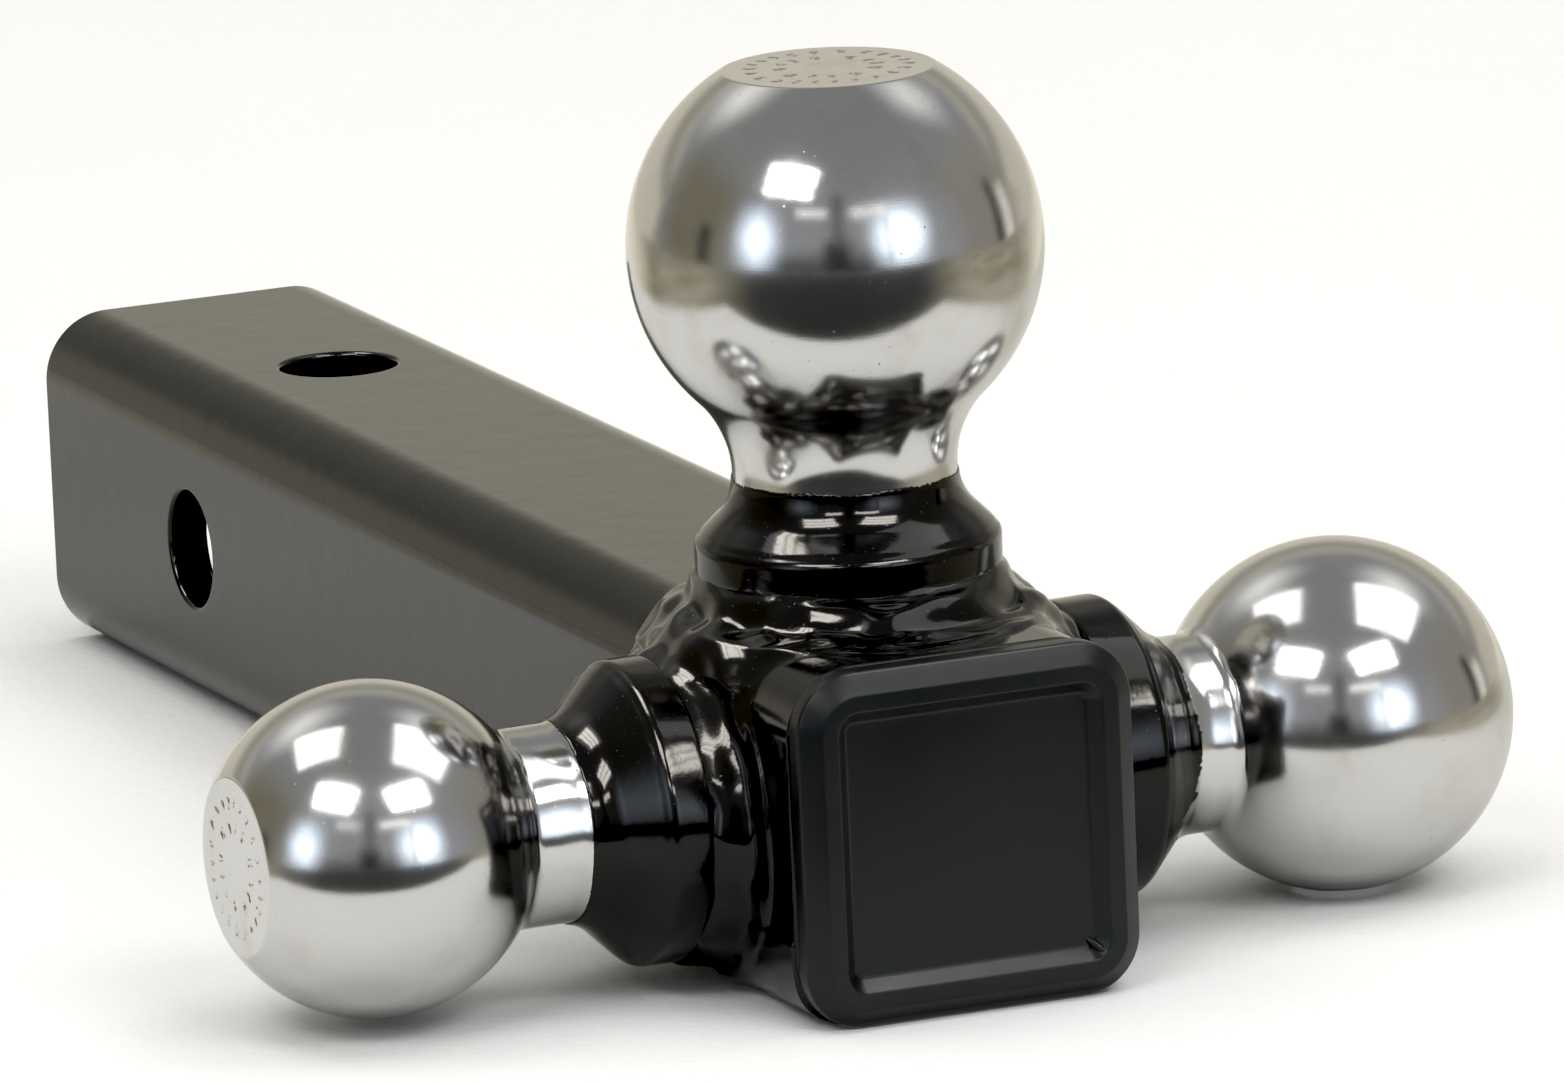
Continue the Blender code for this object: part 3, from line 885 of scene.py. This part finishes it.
def panel_mask(graph, direction, azimuth, elevation, half_width, half_height, softness):
    """1 inside a rectangle seen in that direction, falling softly to 0 outside it."""
    centre = room_direction(azimuth, elevation)
    right = Vector((0, 0, 1)).cross(centre).normalized()
    up = centre.cross(right)
    ahead = graph.add("VectorMath", direction, centre, operation="DOT_PRODUCT", output=1)
    ahead = graph.math("MAXIMUM", ahead, 0.01)
    mask = None
    for axis, half in ((right, half_width), (up, half_height)):
        across = graph.add("VectorMath", direction, axis, operation="DOT_PRODUCT", output=1)
        offset = graph.math("ABSOLUTE", graph.math("DIVIDE", across, ahead))
        edge = tan(radians(half))
        side = graph.ramp(offset, edge - softness / 2, edge + softness / 2, 1.0, 0.0, soft=True)
        mask = side if mask is None else graph.math("MULTIPLY", mask, side)
    return mask


def make_world():
    """The room's walls, windows and dark shapes, which reflections see. The camera sees white."""
    world = bpy.data.worlds.new("studio")
    bpy.context.scene.world = world
    world.use_nodes = True
    tree = world.node_tree
    background = tree.nodes["Background"]
    graph = Graph(tree)
    direction = graph.add("TexCoord", output=0)
    height = graph.add("SeparateXYZ", direction, output=2)
    level, overhead = (0.40, 0.41, 0.44, 1), (0.29, 0.30, 0.30, 1)
    colour = graph.mix(graph.ramp(height, 0.0, 0.95, soft=True), level, overhead)
    for azimuth, elevation, half_width, half_height, softness, tint, strength in PANELS.values():
        mask = panel_mask(graph, direction, azimuth, elevation, half_width, half_height, softness)
        shade = tuple(channel * strength for channel in tint) + (1,)
        colour = graph.mix(mask, colour, shade)
    seen = graph.add("LightPath", output=0)
    graph.put(background.inputs["Color"], graph.mix(seen, colour, (0.93, 0.93, 0.92, 1)))


def light_group(name, pieces, state):
    """A collection that says which pieces a lamp lights, or which ones it leaves out."""
    group = bpy.data.collections.new(name)
    for place, piece in enumerate(pieces):
        group.objects.link(piece)
        group.collection_objects[place].light_linking.link_state = state
    return group


def make_lamps(groups):
    """Rectangular fixtures of one or more tubes, which the camera itself doesn't see."""
    for name, (azimuth, elevation, half_width, half_height, tubes, radiance, tint, lit) in LAMPS.items():
        away = room_direction(azimuth, elevation)
        turn = away.to_track_quat("Z", "Y")
        distance = LAMP_DISTANCE - (GLINT_STEP if lit == "enamel" else 0)
        width = 2 * distance * tan(radians(half_width))
        height = 2 * distance * tan(radians(half_height))
        for tube in range(tubes):
            data = bpy.data.lights.new(f"{name}_{tube}", "AREA")
            data.shape = "RECTANGLE"
            data.color = tint
            data.size = width
            data.size_y = height / tubes * (TUBE_FILL if tubes > 1 else 1)
            data.energy = radiance * pi * data.size * data.size_y
            data.use_shadow = lit != "plug"
            made = linked(data.name, data)
            rise = turn @ Vector((0, height * ((tube + 0.5) / tubes - 0.5), 0))
            made.matrix_world = Matrix.Translation(away * distance + rise) @ turn.to_matrix().to_4x4()
            made.visible_camera = False
            made.light_linking.receiver_collection = groups.get(lit)


def make_overhead():
    """A wide soft light that brightens the floor and shows in no reflection."""
    data = bpy.data.lights.new("overhead", "AREA")
    data.shape = "DISK"
    data.size = OVERHEAD_SIZE
    data.energy = OVERHEAD_RADIANCE * pi * pi * (OVERHEAD_SIZE / 2) ** 2
    made = linked("overhead", data)
    made.location.z = OVERHEAD_HEIGHT
    made.visible_glossy = False
    made.visible_camera = False


def floor_material():
    """Pale matt paper with a fine grain."""
    made, shader, graph, place = new_material("studio_floor")
    cloud = graph.noise(place, 9.0, 3.0)
    grain = graph.noise(place, 500.0, 2.0)
    pale, cloudy = (0.90, 0.885, 0.865, 1), (0.84, 0.825, 0.805, 1)
    colour = graph.mix(graph.math("MULTIPLY", cloud, grain), pale, cloudy)
    graph.put(shader.inputs["Base Color"], colour)
    shader.inputs["Roughness"].default_value = 0.85
    graph.put(shader.inputs["Normal"], graph.bump(grain, 0.0002))
    return made


def room_floor(graph, place, ahead, aside):
    """Colour past the table: dark towards the camera, olive on both sides and pale behind."""
    distance = graph.add("VectorMath", place, operation="LENGTH", output=1)
    azimuth = graph.math("ABSOLUTE", graph.math("ARCTAN2", aside, ahead))
    patches = graph.ramp(graph.noise(place, 5.0, 3.0), 0.35, 0.65)
    far = graph.ramp(distance, 0.5, 2.2, 0.0, 0.8, soft=True)
    dark, patchy = (0.035, 0.034, 0.033, 1), (0.34, 0.36, 0.38, 1)
    front = graph.mix(graph.math("MULTIPLY", far, patches), dark, patchy)
    olive = graph.mix(patches, (0.24, 0.22, 0.15, 1), (0.42, 0.39, 0.31, 1))
    room = graph.mix(graph.ramp(azimuth, radians(42), radians(80), soft=True), front, olive)
    behind = graph.ramp(azimuth, radians(115), radians(150), soft=True)
    return graph.mix(behind, room, (0.85, 0.80, 0.67, 1))


def table_mask(graph, ahead, aside):
    """1 on the table, falling to 0 past its edges."""
    on_table = graph.ramp(ahead, TABLE_FRONT - 0.006, TABLE_FRONT + 0.006, 1.0, 0.0, soft=True)
    to_left = graph.math("MULTIPLY", aside, -1.0)
    to_back = graph.math("MULTIPLY", ahead, -1.0)
    for axis, (low, high) in ((aside, TABLE_RIGHT), (to_left, TABLE_LEFT), (to_back, TABLE_BACK)):
        on_table = graph.math("MULTIPLY", on_table, graph.ramp(axis, low, high, 1.0, 0.0, soft=True))
    return on_table


def table_colour(graph, place, ahead, aside):
    """Pale and patchy, palest towards the camera and its left."""
    leftward = graph.ramp(aside, -0.12, 0.12, 0.35, -0.35)
    shade = graph.math("ADD", graph.ramp(ahead, -0.12, 0.02, 0.0, 0.8), graph.noise(place, 9.0, 3.0))
    shade = graph.math("ADD", shade, leftward)
    return graph.mix(shade, (0.58, 0.56, 0.50, 1), (0.80, 0.79, 0.76, 1))


def mirror_floor_material():
    """What reflections see below the horizon: a small pale table in an olive room, dark ahead."""
    made, shader, graph, place = new_material("mirror_floor")
    ahead = graph.add("VectorMath", place, room_direction(0, 0), operation="DOT_PRODUCT", output=1)
    aside = graph.add("VectorMath", place, room_direction(90, 0), operation="DOT_PRODUCT", output=1)
    room = room_floor(graph, place, ahead, aside)
    on_table = table_mask(graph, ahead, aside)
    table = table_colour(graph, place, ahead, aside)
    graph.put(shader.inputs["Base Color"], graph.mix(on_table, room, table))
    shader.inputs["Roughness"].default_value = 0.9
    shader.inputs["Specular IOR Level"].default_value = 0.1
    return made


def flat_sheet(name, corners, finish):
    """One flat face that belongs to the stage."""
    mesh = bpy.data.meshes.new(name)
    mesh.from_pydata([tuple(corner) for corner in corners], [], [tuple(range(len(corners)))])
    mesh.materials.append(finish)
    made = linked(name, mesh)
    return made


def square_corners(half):
    """Corners of a level square round the origin."""
    return [(-half, -half, 0), (half, -half, 0), (half, half, 0), (-half, half, 0)]


def make_floor():
    """The floor that the camera sees, and the one that only reflections see."""
    floor = flat_sheet("floor", square_corners(FLOOR_HALF), floor_material())
    floor.visible_glossy = False
    mirrored = flat_sheet("mirror_floor", square_corners(MIRROR_FLOOR_HALF), mirror_floor_material())
    mirrored.location.z = MIRROR_FLOOR_RISE
    mirrored.visible_camera = False
    mirrored.visible_diffuse = False
    mirrored.visible_shadow = False


def make_camera():
    """A long lens, turned to look at the target from the front left and above."""
    data = bpy.data.cameras.new("camera")
    data.lens = CAMERA_LENS
    data.clip_end = 20.0
    made = linked("camera", data)
    away = room_direction(0, degrees(CAMERA_ELEVATION))
    turn = Matrix.Rotation(CAMERA_AZIMUTH, 4, "Z") @ Matrix.Rotation(pi / 2 - CAMERA_ELEVATION, 4, "X")
    roll = Matrix.Rotation(CAMERA_ROLL, 4, "Z")
    made.matrix_world = Matrix.Translation(CAMERA_TARGET + away * CAMERA_DISTANCE) @ turn @ roll
    bpy.context.scene.camera = made


def set_tone():
    """Plain display colours, with the deep blacks of a product photograph."""
    tone = bpy.context.scene.view_settings
    tone.view_transform = "Standard"
    tone.use_curve_mapping = True
    tone.curve_mapping.black_level = (BLACK_LEVEL, BLACK_LEVEL, BLACK_LEVEL)
    tone.curve_mapping.update()


def main():
    make_camera()
    make_world()
    make_floor()
    set_tone()
    enamel, chrome, plastic = black_enamel(), chrome_plate(), charcoal_plastic()
    enamelled = [make_tube(enamel), make_weld_skin(enamel)]
    enamelled += [make_painted_flange(side, enamel) for side in BALLS]
    balls = {side: make_chrome(side, chrome) for side in BALLS}
    plug, stub = make_plug(plastic), make_gate_stub(plastic)
    make_lamps({"enamel": light_group("enamelled", enamelled, "INCLUDE"),
                "plug": light_group("plug_only", [plug, stub], "INCLUDE"),
                "all_but_top_ball": light_group("not_top_ball", [balls["top"]], "EXCLUDE")})
    make_overhead()


main()
bpy.context.view_layer.update()
